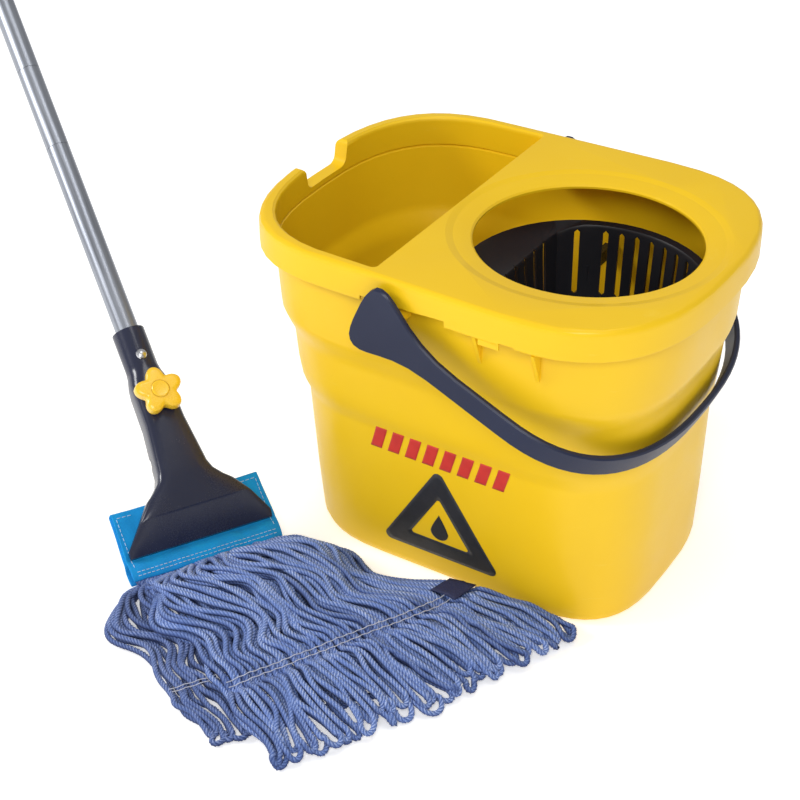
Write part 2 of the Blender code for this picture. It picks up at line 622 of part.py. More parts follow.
def build_knob(knob_mat, steel, mop):
    front = -FRONT_Y
    turn = front_turn(KNOB_Z)
    turned("thrust_washer", [(0.0075, front + 0.0016), (0.0075, front + GAP),
                             (SCREW_R + GAP, front + GAP), (SCREW_R + GAP, front + 0.0016)],
           steel, mop, turn, 32, ring=True)
    base = front + 0.0020
    rings = [star_ring(base, 0.0035), star_ring(base + 0.0012, 0.0012), star_ring(base + 0.0035, 0),
             star_ring(base + 0.0080, 0), star_ring(base + 0.0098, 0.0007),
             star_ring(base + 0.0108, 0.0022), star_ring(base + 0.0112, 0.0042)]
    spun = [[turn @ p for p in ring] for ring in rings]
    knob = loft("star_knob", spun, knob_mat, mop)
    boolean(knob, rod("knob_bore", SCREW_R + GAP, (0, -base + 0.001, KNOB_Z),
                      (0, -base - 0.0085, KNOB_Z), parent=mop))
    boolean(knob, rod("cap_seat", 0.0075, (0, -base - 0.0103, KNOB_Z), (0, -base - 0.014, KNOB_Z),
                      parent=mop, sides=32))
    cap = base + 0.0103 + GAP
    turned("knob_cap", [(0, cap + 0.0016), (0.0042, cap + 0.0015), (0.0062, cap + 0.0018),
                        (0.0071, cap + 0.0010), (0.0071, cap), (0, cap)], knob_mat, mop, turn, 32)
    rod("clamp_screw", SCREW_R, (0, -base - 0.0082, KNOB_Z), (0, 0.0086, KNOB_Z), steel, mop)


def build_pole(metal, grip_mat, mop):
    inner = POLE_R - POLE_T

    def tube(name, low, high):
        return turned(name, [(POLE_R, high), (POLE_R, low), (inner, low), (inner, high)],
                      metal, mop, None, 32, ring=True)

    lower = tube("pole_lower", BORE_Z + GAP, SEAM_1 - GAP)
    boolean(lower, rod("pole_rivet_hole", 0.0022 + GAP, (0, -0.02, RIVET_Z), (0, 0.02, RIVET_Z),
                       parent=mop))
    spigot, bore = inner - GAP, inner - 0.0018
    turned("pole_coupler", [(spigot, SEAM_2 + SPIGOT), (spigot, SEAM_2), (POLE_R, SEAM_2),
                            (POLE_R, SEAM_1), (spigot, SEAM_1), (spigot, SEAM_1 - SPIGOT),
                            (bore, SEAM_1 - SPIGOT), (bore, SEAM_2 + SPIGOT)],
           metal, mop, None, 32, ring=True)
    tube("pole_upper", SEAM_2 + GAP, POLE_END)
    low, high = GRIP_Z
    hole, skin = POLE_R + GAP, POLE_R + 0.0032
    profile = [(hole + 0.001, high)]
    ribs = 5
    for i in range(ribs):
        z = high - 0.004 - (high - low - 0.008) * i / (ribs - 1)
        profile += [(skin, z + 0.0030), (skin, z - 0.0030), (skin - 0.0008, z - 0.0052)]
    profile += [(hole + 0.001, low), (hole, low), (hole, high)]
    turned("pole_grip", profile, grip_mat, mop, None, 24, ring=True)
    top, plug = POLE_END + GAP, inner - GAP
    turned("pole_cap", [(0, top + 0.0125), (0.0050, top + 0.0115), (0.0092, top + 0.0080),
                        (POLE_R + 0.0026, top + 0.0030), (POLE_R + 0.0030, top), (plug, top),
                        (plug, top - 0.025), (0, top - 0.025)], grip_mat, mop, None, 32)


def build_headband(mat, mop):
    """Folded cloth: thin where the jaws pinch it, full along the hem where the yarn goes in."""
    rows = [(0, 62.5, 10.5, 23.5, 5), (3, 64, 9.4, 24.6, 6), (11, 64, 9.6, 24.6, 6),
            (15.5, 63.8, 12.2, 19.8, 8), (52, 64, 12.2, 19.8, 8), (57, 63.5, 13.4, 18.8, 6)]
    return loft("headband", [oval(*row, 36) for row in rows], mat, mop)


def yarn_section(left, right, low, high, bulge=0.0):
    """One section across a layer of yarn; the bulge pushes its middle along the layer."""
    left, right = Vector(left), Vector(right)
    across = right - left
    ahead = Vector((-across.y, across.x)).normalized() * -1
    above, below = [], []
    steps = 8
    for i in range(steps + 1):
        t = i / steps
        spot = left + across * t + ahead * bulge * 4 * t * (1 - t)
        crown = (1 - abs(2 * t - 1) ** 4) ** 0.5
        middle = low + (high - low) * 0.3
        above.append(Vector((*spot, middle + (high - middle) * crown)))
        below.append(Vector((*spot, middle - (middle - low) * min(1, crown * 1.6))))
    return above + below[-2:0:-1]


def yarn_root(mop_matrix, front, back):
    """The section where a layer leaves the headband's hem, in world coordinates."""
    above, below = [], []
    for i in range(9):
        t = i / 8
        x = (-0.0605 + 0.121 * t)
        crown = (1 - abs(2 * t - 1) ** 4) ** 0.5
        mid, deep = (front + back) / 2, (back - front) / 2
        above.append(mop_matrix @ Vector((x, mid - deep * crown, -STRAND_END)))
        below.append(mop_matrix @ Vector((x, mid + deep * crown, -STRAND_END)))
    return above + below[-2:0:-1]


def build_yarn(mat, mop):
    """Two layers of looped yarn lying on the floor, fanned out from the headband."""
    turn = mop.matrix_world
    over = [yarn_root(turn, 0.0100, 0.0165),
            yarn_section((-0.168, -0.266), (-0.098, -0.129), 0.0150, 0.0290),
            yarn_section((-0.112, -0.290), (-0.050, -0.131), 0.0150, 0.0380),
            yarn_section((-0.068, -0.312), (0.006, -0.130), 0.0150, 0.0350, 0.006),
            yarn_section((-0.036, -0.330), (0.060, -0.116), 0.0150, 0.0320, 0.014),
            yarn_section((-0.014, -0.341), (0.104, -0.110), 0.0150, 0.0270, 0.024),
            yarn_section((0.000, -0.342), (0.122, -0.112), 0.0150, 0.0210, 0.027)]
    loft("yarn_upper", over, mat)
    under = [yarn_root(turn, 0.0172, 0.0236),
             yarn_section((-0.168, -0.266), (-0.098, -0.129), 0.0004, 0.0142),
             yarn_section((-0.134, -0.300), (-0.052, -0.134), 0.0004, 0.0144),
             yarn_section((-0.098, -0.325), (0.004, -0.130), 0.0004, 0.0144, 0.006),
             yarn_section((-0.066, -0.338), (0.058, -0.118), 0.0004, 0.0144, 0.012),
             yarn_section((-0.034, -0.343), (0.100, -0.111), 0.0004, 0.0144, 0.022),
             yarn_section((-0.018, -0.345), (0.116, -0.113), 0.0004, 0.0130, 0.025)]
    loft("yarn_lower", under, mat)


def build_mop(mats):
    turn = (Matrix.Translation(MOP_AT) @ Matrix.Rotation(MOP_HEADING, 4, "Z")
            @ Matrix.Rotation(-MOP_LEAN, 4, "X"))
    mop = empty("mop_frame", turn)
    bpy.context.view_layer.update()
    build_clamp_body(mats["navy"], mop)
    build_rear_jaw(mats["navy"], mop)
    build_clamp_fasteners(mats["steel"], mop)
    build_knob(mats["knob"], mats["steel"], mop)
    build_pole(mats["aluminium"], mats["navy"], mop)
    build_headband(mats["cloth"], mop)
    build_yarn(mats["yarn"], mop)


def main():
    mats = {
        "yellow": plastic("yellow_plastic", (0.88, 0.62, 0.04), 0.38),
        "black": plastic("black_plastic", (0.02, 0.02, 0.03), 0.45),
        "navy": plastic("navy_plastic", (0.045, 0.05, 0.10), 0.35),
        "knob": plastic("knob_plastic", (0.88, 0.55, 0.05), 0.3),
        "steel": plastic("zinc_steel", (0.65, 0.66, 0.68), 0.3, 1.0),
        "aluminium": plastic("brushed_aluminium", (0.62, 0.63, 0.65), 0.35, 1.0),
        "cloth": plastic("headband_cloth", (0.02, 0.35, 0.75), 0.8),
        "yarn": plastic("denim_yarn", (0.09, 0.15, 0.42), 0.9),
    }
    build_tub(mats["yellow"])
    build_top_frame(mats["yellow"])
    build_wringer_cup(mats["black"])
    build_bail(mats["navy"], mats["navy"])
    build_mop(mats)


clear_scene()
PARTS = new_collection("mop_and_bucket")
CUTTERS = new_collection("cutters")
main()
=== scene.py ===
"""Looks for the mop and bucket with wringer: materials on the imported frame, the headband's folded
cloth with its stitching, four layers of twisted looped yarn sewn across near their tails, and the
plain marks on the bucket's near wall."""

from math import cos, pi, radians, sin, sqrt

import bpy
import numpy as np
from mathutils import Matrix, Vector
from mathutils.bvhtree import BVHTree


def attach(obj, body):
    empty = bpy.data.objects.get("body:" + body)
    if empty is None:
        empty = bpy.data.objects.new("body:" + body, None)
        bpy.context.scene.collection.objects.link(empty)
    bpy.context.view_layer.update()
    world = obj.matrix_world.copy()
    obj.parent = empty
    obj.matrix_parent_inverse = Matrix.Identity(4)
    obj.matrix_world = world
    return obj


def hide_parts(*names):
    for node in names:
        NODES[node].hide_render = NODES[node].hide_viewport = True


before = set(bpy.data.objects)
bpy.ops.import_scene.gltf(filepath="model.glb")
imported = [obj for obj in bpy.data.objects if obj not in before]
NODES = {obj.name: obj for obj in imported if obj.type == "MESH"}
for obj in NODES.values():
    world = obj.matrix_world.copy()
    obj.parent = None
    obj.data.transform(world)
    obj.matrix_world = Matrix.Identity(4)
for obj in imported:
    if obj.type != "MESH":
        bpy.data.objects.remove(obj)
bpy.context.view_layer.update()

# ---- camera ----
CAM_TARGET = Vector((-0.088, 0.0, 0.0797))
CAM_BACK = Vector((0.438, -0.7105, 0.5506)).normalized()
CAM_DISTANCE, CAM_LENS = 1.5119, 82.62

# ---- stage ----
FLOOR_HALF, FLOOR_Z = 40.0, -0.0002
SKY = 0.46                  # brightness of the even white surroundings

# ---- the mop's own frame, as in part.py: X across the clamp, -Y out of its front, Z up the pole ----
MOP = (Matrix.Translation((-0.1416, -0.1915, 0.0247)) @ Matrix.Rotation(radians(59.7), 4, "Z")
       @ Matrix.Rotation(radians(-52.5), 4, "X"))

# ---- moulded parts ----
OPENING = (0.0744, -0.0030)  # centre of the deck's round opening
RING_IN, RING_OUT, RING_RISE = 0.0985, 0.1040, 0.0011    # the soft ring round it
SHARP_DEGREES = 28          # edges of the moulded parts sharper than this stay sharp

# ---- yarn ----
STRAND_R = 0.0024           # outside radius of one strand
TWIST = 0.0120              # length of one full turn of its plies
RING = 0.0014               # distance between rings of the strand's mesh
STATIONS = 46               # points along one strand before it is smoothed

# ---- marks on the near wall ----
PRINT_OUT, PRINT_IN = 0.00028, 0.00004   # a mark's outer and inner faces, off the wall
SIDE_STEPS = 24             # short steps along one side of the printed triangle
CORNER_STEPS = 9            # points round each of its corners
STRIPES, STRIPE_X, STRIPE_STEP, STRIPE_WIDTH = 8, -0.0490, 0.0152, 0.0098
STRIPE_Z, STRIPE_SLANT = (0.1120, 0.1320), 0.30
SIGN_CORNERS = [(-0.0430, 0.0240), (0.0640, 0.0240), (0.0105, 0.1110)]
SIGN_WIDTH, SIGN_RADIUS = 0.0150, 0.0050
DROP = (0.0105, 0.0490, 0.0078, 0.0170)  # centre, radius and height above it

# ---- yarn layers ----
# how far out each layer's two sides lie, from the hem to the tips: left side, then bucket side
TOP_LEFT = [(-0.1760, -0.2360), (-0.1590, -0.2530), (-0.1220, -0.2715), (-0.0850, -0.2870),
            (-0.0500, -0.3020), (-0.0180, -0.3230), (0.0100, -0.3370)]
TOP_RIGHT = [(-0.1210, -0.1370), (-0.0980, -0.1290), (-0.0550, -0.1280), (-0.0030, -0.1270),
             (0.0480, -0.1150), (0.0930, -0.1090), (0.1340, -0.1070)]
LOW_LEFT = [(-0.1810, -0.2420), (-0.1830, -0.2610), (-0.1560, -0.2880), (-0.1250, -0.3050),
            (-0.0870, -0.3220), (-0.0660, -0.3310), (-0.0400, -0.3390)]
LOW_RIGHT = [(-0.1230, -0.1330), (-0.1020, -0.1230), (-0.0600, -0.1210), (-0.0080, -0.1240),
             (0.0400, -0.1160), (0.0800, -0.1100), (0.1080, -0.1080)]
SEW_T = 4 / 6               # where along a strand the tail stitching crosses it

RNG = np.random.default_rng(41)


# ------------------------------------------------------------------ materials
class Nodes:
    """A small builder for one material's node tree."""

    def __init__(self, name):
        self.mat = bpy.data.materials.new(name)
        self.mat.use_nodes = True
        self.tree = self.mat.node_tree
        self.bsdf = self.tree.nodes["Principled BSDF"]
        self.coord = self.tree.nodes.new("ShaderNodeTexCoord").outputs["Object"]

    def node(self, kind, **values):
        made = self.tree.nodes.new(kind)
        for key, value in values.items():
            if hasattr(made, key):
                setattr(made, key, value)
            else:
                made.inputs[key.replace("_", " ")].default_value = value
        return made

    def link(self, a, b):
        self.tree.links.new(a, b)

    def mapped(self, scale=(1, 1, 1), mop_frame=False):
        """Object coordinates, or the mop's own, stretched by scale."""
        source = self.coord
        if mop_frame:
            turn = self.node("ShaderNodeMapping", vector_type="TEXTURE")
            turn.inputs["Location"].default_value = MOP.to_translation()
            turn.inputs["Rotation"].default_value = MOP.to_euler()
            self.link(source, turn.inputs["Vector"])
            source = turn.outputs["Vector"]
        sized = self.node("ShaderNodeMapping")
        sized.inputs["Scale"].default_value = scale
        self.link(source, sized.inputs["Vector"])
        return sized.outputs["Vector"]

    def noise(self, scale, detail=3.0, vector=None, rough=0.5):
        made = self.node("ShaderNodeTexNoise", Scale=scale, Detail=detail, Roughness=rough)
        self.link(vector or self.coord, made.inputs["Vector"])
        return made.outputs["Fac"]

    def span(self, value, low, high, to_low=0.0, to_high=1.0):
        made = self.node("ShaderNodeMapRange")
        for key, number in zip(("From Min", "From Max", "To Min", "To Max"),
                               (low, high, to_low, to_high)):
            made.inputs[key].default_value = number
        self.link(value, made.inputs["Value"])
        return made.outputs["Result"]

    def math(self, operation, a, b):
        made = self.node("ShaderNodeMath", operation=operation)
        for slot, value in zip(made.inputs, (a, b)):
            if isinstance(value, (int, float)):
                slot.default_value = value
            else:
                self.link(value, slot)
        return made.outputs["Value"]

    def mix(self, fac, a, b):
        made = self.node("ShaderNodeMix", data_type="RGBA")
        self.link(fac, made.inputs[0])
        for slot, value in ((made.inputs[6], a), (made.inputs[7], b)):
            if isinstance(value, tuple):
                slot.default_value = (*value, 1)
            else:
                self.link(value, slot)
        return made.outputs[2]

    def colour(self, source):
        self.link(source, self.bsdf.inputs["Base Color"])

    def roughness(self, source):
        self.link(source, self.bsdf.inputs["Roughness"])

    def bump(self, *layers):
        """Stacks height sources, each (source, distance in metres, strength)."""
        last = None
        for source, distance, strength in layers:
            made = self.node("ShaderNodeBump", Distance=distance, Strength=strength)
            self.link(source, made.inputs["Height"])
            if last:
                self.link(last, made.inputs["Normal"])
            last = made.outputs["Normal"]
        self.link(last, self.bsdf.inputs["Normal"])

    def set(self, **values):
        for key, value in values.items():
            self.bsdf.inputs[key.replace("_", " ")].default_value = value
        return self.mat


def moulded(name, light, dark, rough, scuff=None, wear=0.0, fine=950.0):
    """Moulded plastic: a faint cloudiness, a fine grain, a slightly uneven skin and a few scuffs."""
    m = Nodes(name)
    cloud = m.noise(9.0, 4.0)
    base = m.mix(m.span(cloud, 0.3, 0.7), light, dark)
    scratch = m.noise(30.0, 8.0, m.mapped((1.0, 1.0, 7.0)), 0.72)
    marks = m.span(scratch, 0.64, 0.76)
    if scuff:
        base = m.mix(m.math("MULTIPLY", marks, wear), base, scuff)
    m.colour(base)
    grain = m.noise(fine, 2.0)
    spread = m.math("ADD", m.span(m.noise(22.0, 5.0), 0.3, 0.7, rough - 0.05, rough + 0.05),
                    m.math("MULTIPLY", marks, 0.12))
    m.roughness(m.math("ADD", spread, m.span(grain, 0.3, 0.7, -0.03, 0.03)))
    m.bump((m.noise(16.0, 2.0), 0.0008, 0.35), (grain, 0.00006, 0.6), (marks, 0.00003, 0.4))
    return m


def ringed(m, centre, inner, outer, rise):
    """Adds the soft ring round the deck's opening to a moulded material's bump."""
    flat = m.node("ShaderNodeVectorMath", operation="MULTIPLY")
    flat.inputs[1].default_value = (1.0, 1.0, 0.0)
    m.link(m.coord, flat.inputs[0])
    reach = m.node("ShaderNodeVectorMath", operation="DISTANCE")
    reach.inputs[1].default_value = (*centre, 0.0)
    m.link(flat.outputs["Vector"], reach.inputs[0])
    height = m.span(reach.outputs["Value"], inner, outer)
    made = m.node("ShaderNodeBump", Distance=rise, Strength=1.0)
    m.link(height, made.inputs["Height"])
    last = m.bsdf.inputs["Normal"].links[0].from_socket
    m.link(last, made.inputs["Normal"])
    m.link(made.outputs["Normal"], m.bsdf.inputs["Normal"])


def printed(name, light, dark):
    """Screen print on the wall, with a slightly uneven ink and worn specks."""
    m = Nodes(name)
    m.colour(m.mix(m.span(m.noise(70.0, 5.0), 0.35, 0.65), light, dark))
    m.roughness(m.span(m.noise(300.0, 2.0), 0.3, 0.7, 0.38, 0.5))
    m.bump((m.noise(800.0, 2.0), 0.00005, 0.5))
    return m.mat


def brushed(name, light, dark, rough, along=(1.0, 1.0, 0.02), grain=900.0):
    """Metal drawn along the pole: fine lines, soft blotches, faint scratches."""
    m = Nodes(name)
    lines = m.noise(grain, 3.0, m.mapped(along, True), 0.6)
    blotch = m.noise(14.0, 4.0, m.mapped((1, 1, 0.35), True))
    tone = m.math("ADD", m.span(lines, 0.3, 0.7, 0.0, 0.6), m.span(blotch, 0.3, 0.7, 0.0, 0.4))
    m.colour(m.mix(tone, dark, light))
    m.roughness(m.math("ADD", m.span(lines, 0.3, 0.7, rough - 0.06, rough + 0.06),
                       m.span(blotch, 0.3, 0.7, -0.04, 0.04)))
    m.bump((lines, 0.00004, 0.6))
    m.set(Metallic=1.0)
    return m.mat


def headband_material():
    """Plain weave: two crossing sets of fine threads in the mop's frame."""
    m = Nodes("headband_weave")
    place = m.mapped((1, 1, 1), True)
    sets = []
    for axis in ("X", "Z"):
        wave = m.node("ShaderNodeTexWave", wave_type="BANDS", bands_direction=axis,
                      Scale=330.0, Distortion=0.6, Detail=1.0)
        wave.inputs["Detail Scale"].default_value = 2.0
        m.link(place, wave.inputs["Vector"])
        sets.append(wave.outputs["Fac"])
    weave = m.math("MULTIPLY", sets[0], sets[1])
    cloud = m.noise(45.0, 5.0)
    tone = m.math("ADD", m.span(weave, 0.0, 0.8, 0.0, 0.65), m.span(cloud, 0.3, 0.7, 0.0, 0.35))
    m.colour(m.mix(tone, (0.001, 0.215, 0.580), (0.003, 0.450, 0.960)))
    m.roughness(m.span(cloud, 0.3, 0.7, 0.62, 0.78))
    m.bump((m.noise(26.0, 2.0), 0.0060, 0.5), (cloud, 0.0012, 0.6), (weave, 0.00022, 0.8))
    return m.set(Sheen_Weight=0.06, Sheen_Roughness=0.5, Specular_IOR_Level=0.3)


def yarn_material(name, dark, mid, light):
    """Cotton yarn with fine fibres and a random tone per strand: painted shade in the grooves between
    plies and on the strands' undersides, a painted highlight on the ply crowns.
    """
    m = Nodes(name)
    ply = m.node("ShaderNodeAttribute", attribute_name="ply").outputs["Fac"]
    tone = m.node("ShaderNodeAttribute", attribute_name="tone").outputs["Fac"]
    fibre = m.noise(1500.0, 4.0, None, 0.65)
    cloud = m.noise(60.0, 4.0)
    # painted shade: dark in the grooves between plies (low ply), broken up by the fibre noise
    low = m.mix(m.span(m.math("ADD", ply, m.span(fibre, 0.3, 0.7, -0.40, 0.40)), -0.55, 0.70),
                dark, mid)
    # painted highlight: the light colour on the ply crowns, patchy with the fibre and cloud noise
    high = m.math("MULTIPLY", m.span(ply, 0.55, 1.0),
                  m.span(m.math("ADD", fibre, m.span(cloud, 0.3, 0.7, -0.08, 0.08)), 0.42, 0.62))
    # the painted highlight is stronger where tone is high, on the strands' upper sides
    shade = m.mix(m.math("MULTIPLY", high, m.span(tone, 0.2, 1.0, 0.05, 0.85)), low, light)
    # low tone darkens toward dark: each strand's random tone plus painted shade on its underside
    m.colour(m.mix(m.span(tone, 0.15, 0.72, 0.90, 0.0), shade, dark))
    m.roughness(m.span(fibre, 0.3, 0.7, 0.78, 0.95))
    m.bump((m.noise(420.0, 3.0), 0.0006, 0.7), (fibre, 0.0005, 0.7))
    return m.set(Sheen_Weight=0.08, Sheen_Roughness=0.6, Specular_IOR_Level=0.2)


def thread_material(name, light, dark):
    m = Nodes(name)
    m.colour(m.mix(m.span(m.noise(1300.0, 2.0), 0.3, 0.7), dark, light))
    m.roughness(m.span(m.noise(500.0, 2.0), 0.3, 0.7, 0.6, 0.8))
    m.bump((m.noise(2200.0, 2.0), 0.0002, 0.6))
    return m.mat


def floor_material():
    m = Nodes("pale_floor")
    cloud = m.noise(3.0, 3.0)
    m.colour(m.mix(cloud, (0.90, 0.90, 0.90), (0.93, 0.93, 0.93)))
    m.roughness(m.span(cloud, 0.0, 1.0, 0.75, 0.85))
    return m.set(Specular_IOR_Level=0.1, Emission_Color=(1, 1, 1, 1), Emission_Strength=0.42)


def round_shading(node):
    """Smooth shading on curved walls, with sharp edges kept: modifiers only, the mesh stays."""
    node.data.polygons.foreach_set("use_smooth", [True] * len(node.data.polygons))
    weld = node.modifiers.new("weld", "WELD")
    weld.merge_threshold = 0.00001
    split = node.modifiers.new("sharp_edges", "EDGE_SPLIT")
    split.split_angle, split.use_edge_sharp = radians(SHARP_DEGREES), False
    normals = node.modifiers.new("shading", "WEIGHTED_NORMAL")
    normals.mode, normals.weight = "FACE_AREA", 50


def paint_frame():
    """Procedural materials on the CAD nodes that stay."""
    tints = (0.880, 0.560, 0.010), (0.850, 0.525, 0.007)
    yellow = moulded("yellow_moulded", *tints, 0.36, (0.94, 0.70, 0.13), 0.30)
    yellow = yellow.set(Specular_IOR_Level=0.30)
    deck = moulded("yellow_deck", *tints, 0.36, (0.94, 0.70, 0.13), 0.30)
    ringed(deck, OPENING, RING_IN, RING_OUT, RING_RISE)
    deck = deck.set(Specular_IOR_Level=0.30)
    knob = moulded("knob_moulded", (0.93, 0.60, 0.03), (0.88, 0.54, 0.02), 0.30,
                   (0.95, 0.75, 0.3), 0.3).set(Coat_Weight=0.15, Coat_Roughness=0.2)
    black = moulded("black_moulded", (0.014, 0.014, 0.018), (0.009, 0.009, 0.012), 0.42,
                    (0.06, 0.06, 0.07), 0.25).mat
    navy = moulded("navy_moulded", (0.022, 0.028, 0.060), (0.014, 0.018, 0.044), 0.36,
                   (0.08, 0.09, 0.14), 0.25).set(Specular_IOR_Level=0.24)
    glossy = moulded("clamp_moulded", (0.017, 0.021, 0.050), (0.011, 0.014, 0.036), 0.24,
                     (0.08, 0.09, 0.14), 0.3).set(Specular_IOR_Level=0.55)
    zinc = brushed("zinc_plated", (0.72, 0.72, 0.74), (0.50, 0.51, 0.54), 0.30, (1, 1, 1), 700.0)
    alu = brushed("aluminium_drawn", (0.42, 0.445, 0.495), (0.24, 0.255, 0.295), 0.38)
    dressed = {
        yellow: ("tub",),
        deck: ("top_frame",),
        knob: ("star_knob", "knob_cap"),
        black: ("wringer_cup",),
        navy: ("bail_handle", "bail_pin_near", "bail_pin_far", "pole_grip", "pole_cap"),
        glossy: ("clamp_body", "rear_jaw"),
        zinc: ("jaw_pivot_screw", "jaw_pivot_nut", "socket_rivet", "captive_nut", "thrust_washer",
               "clamp_screw"),
        alu: ("pole_lower", "pole_coupler", "pole_upper"),
    }
    for mat, names in dressed.items():
        for name in names:
            for slot in NODES[name].material_slots:
                slot.material = mat
            round_shading(NODES[name])


# ------------------------------------------------------------------ mesh helpers
def new_mesh(name, verts, faces, mat, smooth=True, attributes=None):
    mesh = bpy.data.meshes.new(name)
    mesh.from_pydata([tuple(v) for v in verts], [], [tuple(f) for f in faces])
    for key, values in (attributes or {}).items():
        mesh.attributes.new(key, "FLOAT", "POINT").data.foreach_set(
            "value", np.asarray(values, np.float32))
    if smooth:
        mesh.polygons.foreach_set("use_smooth", [True] * len(mesh.polygons))
    mesh.materials.append(mat)
    mesh.update()
    made = bpy.data.objects.new(name, mesh)
    bpy.context.scene.collection.objects.link(made)
    return made


class Bundle:
    """Verts, faces and attributes of many strands that end up in one mesh."""

    def __init__(self):
        self.verts, self.faces, self.ply, self.tone, self.count = [], [], [], [], 0

    def add(self, verts, faces, ply, tone):
        self.verts.append(verts)
        self.faces.append(faces + self.count)
        self.ply.append(ply)
        self.tone.append(tone)
        self.count += len(verts)

    def made(self, name, mat):
        faces = [f[:3] if f[2] == f[3] else f for f in np.concatenate(self.faces).tolist()]
        verts = np.concatenate(self.verts)
        # ply and tone carry the yarn's painted shade and highlight; tone also holds each strand's
        # random tone
        return new_mesh(name, verts.tolist(), faces, mat,
                        attributes={"ply": np.concatenate(self.ply),
                                    "tone": np.concatenate(self.tone)})


def resampled(points, step):
    """A smooth curve through the points, at an even spacing."""
    p = np.asarray(points, float)
    gaps = np.linalg.norm(np.diff(p, axis=0), axis=1)
    at = np.concatenate([[0], np.cumsum(gaps)])
    count = max(4, int(round(at[-1] / step)))
    want = np.linspace(0, at[-1], count + 1)
    # Catmull-Rom slopes on the uneven spacing
    slope = np.gradient(p, at, axis=0)
    i = np.clip(np.searchsorted(at, want, "right") - 1, 0, len(at) - 2)
    h = (at[i + 1] - at[i])[:, None]
    u = ((want - at[i]) / (at[i + 1] - at[i]))[:, None]
    return ((2 * u**3 - 3 * u**2 + 1) * p[i] + (u**3 - 2 * u**2 + u) * h * slope[i]
            + (-2 * u**3 + 3 * u**2) * p[i + 1] + (u**3 - u**2) * h * slope[i + 1])


def frames_along(path):
    """Tangent, side and up vectors along a path, carried along without spinning."""
    tangent = np.gradient(path, axis=0)
    tangent /= np.linalg.norm(tangent, axis=1)[:, None]
    side = np.zeros_like(path)
    start = np.cross(tangent[0], (0.0, 0.0, 1.0))
    if np.linalg.norm(start) < 1e-6:
        start = np.cross(tangent[0], (1.0, 0.0, 0.0))
    side[0] = start / np.linalg.norm(start)
    for i in range(1, len(path)):
        v = side[i - 1] - tangent[i] * np.dot(side[i - 1], tangent[i])
        side[i] = v / np.linalg.norm(v)
    return tangent, side, np.cross(tangent, side)


PLIES = 4
# the crown column only sets colour: painted shade in the grooves (0) and a painted highlight on the
# crowns (near 1)
PLY_PROFILE = [(0.0, 0.80, 0.0), (28.0, 0.98, 0.9), (62.0, 0.98, 1.0)]     # degrees, radius, crown


def strand(bundle, path, radius, tone, step=RING, phase=0.0, pitch=TWIST):
    """One twisted strand along a path, its lobes running round it as real plies do."""
    path = resampled(path, step)
    n = len(path)
    _, side, up = frames_along(path)
    angles, radii, crowns = [], [], []
    for k in range(PLIES):
        for degrees, r, crown in PLY_PROFILE:
            angles.append(radians(degrees + 90 * k))
            radii.append(r)
            crowns.append(crown)
    angles, radii, crowns = (np.array(x) for x in (angles, radii, crowns))
    m = len(angles)
    turn = phase + np.arange(n) * step * 2 * pi / pitch
    a = angles[None, :] + turn[:, None]
    fat = np.ones(n)
    fat[0] = fat[-1] = 0.55
    reach = radius * radii[None, :] * fat[:, None]
    rings = (path[:, None, :] + side[:, None, :] * (np.cos(a) * reach)[:, :, None]
             + up[:, None, :] * (np.sin(a) * reach)[:, :, None])
    verts = np.concatenate([rings.reshape(-1, 3), path[:1], path[-1:]])
    i, j = np.meshgrid(np.arange(n - 1), np.arange(m), indexing="ij")
    i, j = i.ravel(), j.ravel()
    k = (j + 1) % m
    quads = np.stack([i * m + j, i * m + k, (i + 1) * m + k, (i + 1) * m + j], 1)
    ring = np.arange(m)
    first = np.stack([np.full(m, n * m), (ring + 1) % m, ring, ring], 1)
    last = np.stack([np.full(m, n * m + 1), (n - 1) * m + ring, (n - 1) * m + (ring + 1) % m,
                     (n - 1) * m + (ring + 1) % m], 1)
    faces = np.concatenate([quads, first, last])
    # ply holds each vertex's crown value, the mask of the yarn's painted groove shade and crown
    # highlight
    ply = np.concatenate([np.tile(crowns, n), [0.5, 0.5]])
    # tone is painted shade: lighter on a strand's upper side, darker underneath, added to the strand's
    # random tone
    lift = ((rings[:, :, 2] - path[:, None, 2]) / radius).ravel()
    tone_and_painted_shade = np.clip(0.38 + 0.52 * np.append(lift, (0, 0)) + 0.50 * (tone - 0.5), 0, 1)
    bundle.add(verts, faces, ply, tone_and_painted_shade)
    return path


def spline(points, t):
    """Catmull-Rom through evenly spaced 2-D points at t from 0 to 1."""
    p = np.asarray(points, float)
    x = np.clip(np.asarray(t, float), 0, 1) * (len(p) - 1)
    i = np.clip(x.astype(int), 0, len(p) - 2)
    u = (x - i)[:, None]
    before = p[np.maximum(i - 1, 0)]
    after = p[np.minimum(i + 2, len(p) - 1)]
    return 0.5 * (2 * p[i] + (p[i + 1] - before) * u
                  + (2 * before - 5 * p[i] + 4 * p[i + 1] - after) * u**2
                  + (3 * p[i] - before - 3 * p[i + 1] + after) * u**3)


# ------------------------------------------------------------------ yarn
def smooth_wave(values, t):
    """A smooth random line through evenly spaced values."""
    return spline(np.stack([values, values], 1), t)[:, 0]


def window(t, low, high, edge):
    """0 outside low..high and 1 well inside it."""
    a = np.clip((t - low) / edge, 0, 1)
    b = np.clip((high - t) / edge, 0, 1)
    a, b = a * a * (3 - 2 * a), b * b * (3 - 2 * b)
    return a * b


def sway(s, t):
    """Sideways wander shared by neighbouring strands, so that they wave together."""
    main = np.sin(2 * pi * (2.30 * t + 0.60 * s + 0.08)) * (0.0108 - 0.0040 * s)
    second = np.sin(2 * pi * (4.3 * t - 1.6 * s + 0.45)) * 0.0030
    third = np.sin(2 * pi * (1.3 * t + 2.4 * s)) * 0.0034
    return (main + second + third) * window(t, 0.02, SEW_T, 0.14)


